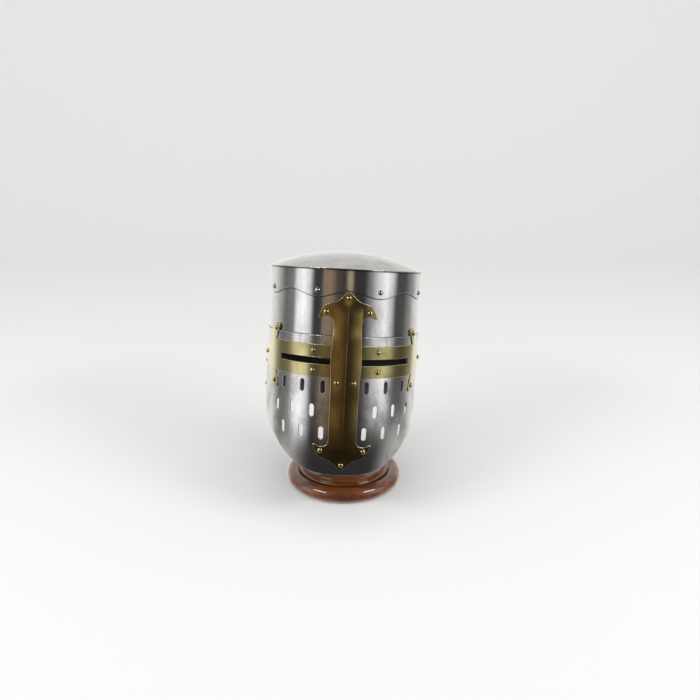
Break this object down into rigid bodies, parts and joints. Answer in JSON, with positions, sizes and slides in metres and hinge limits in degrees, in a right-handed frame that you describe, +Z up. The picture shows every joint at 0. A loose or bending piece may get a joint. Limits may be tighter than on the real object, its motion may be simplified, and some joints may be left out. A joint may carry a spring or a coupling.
{
  "type": "great helm on display stand",
  "caption": "Riveted steel great helm with brass sight band and upright creased bar, resting on a turned wooden display stand.",
  "frame": {"origin": "centre of the stand's underside, on the surface that it stands on", "axes": "+Z up, the helm's face looks along -Y, +X is to the right of someone who looks at the face"},
  "size_m": [0.2305, 0.3006, 0.3689],
  "materials": {
    "polished_steel": "polished",
    "aged_brass": "polished",
    "turned_wood": "gloss"
  },
  "bodies": {
    "root": {"back_plate": "polished_steel", "back_rivet_1": "polished_steel", "back_rivet_2": "polished_steel", "back_rivet_3": "polished_steel", "back_rivet_4": "polished_steel", "band_lower_rivet_left": "aged_brass", "band_lower_rivet_right": "aged_brass", "band_upper_rivet_left": "aged_brass", "band_upper_rivet_right": "aged_brass", "bar_bottom_rivet": "aged_brass", "bar_bottom_rivet_left": "aged_brass", "bar_bottom_rivet_right": "aged_brass", "bar_middle_rivet_left": "aged_brass", "bar_middle_rivet_right": "aged_brass", "bar_top_rivet": "aged_brass", "bar_top_rivet_left": "aged_brass", "bar_top_rivet_right": "aged_brass", "crown_cap": "polished_steel", "crown_rivet_1": "polished_steel", "crown_rivet_2": "polished_steel", "crown_rivet_3": "polished_steel", "crown_rivet_4": "polished_steel", "crown_rivet_5": "polished_steel", "crown_rivet_6": "polished_steel", "crown_rivet_7": "polished_steel", "crown_rivet_8": "polished_steel", "face_plate": "polished_steel", "fleur_lower_rivet_left": "aged_brass", "fleur_lower_rivet_right": "aged_brass", "fleur_tip_rivet_left": "aged_brass", "fleur_tip_rivet_right": "aged_brass", "fleur_upper_rivet_left": "aged_brass", "fleur_upper_rivet_right": "aged_brass", "keel_bar": "aged_brass", "seam_rivet_left_1": "polished_steel", "seam_rivet_left_2": "polished_steel", "seam_rivet_right_1": "polished_steel", "seam_rivet_right_2": "polished_steel", "sight_band": "aged_brass", "skull_plate": "polished_steel", "stand_base": "turned_wood", "stand_head": "turned_wood", "stand_post": "turned_wood"}
  },
  "joints": []
}
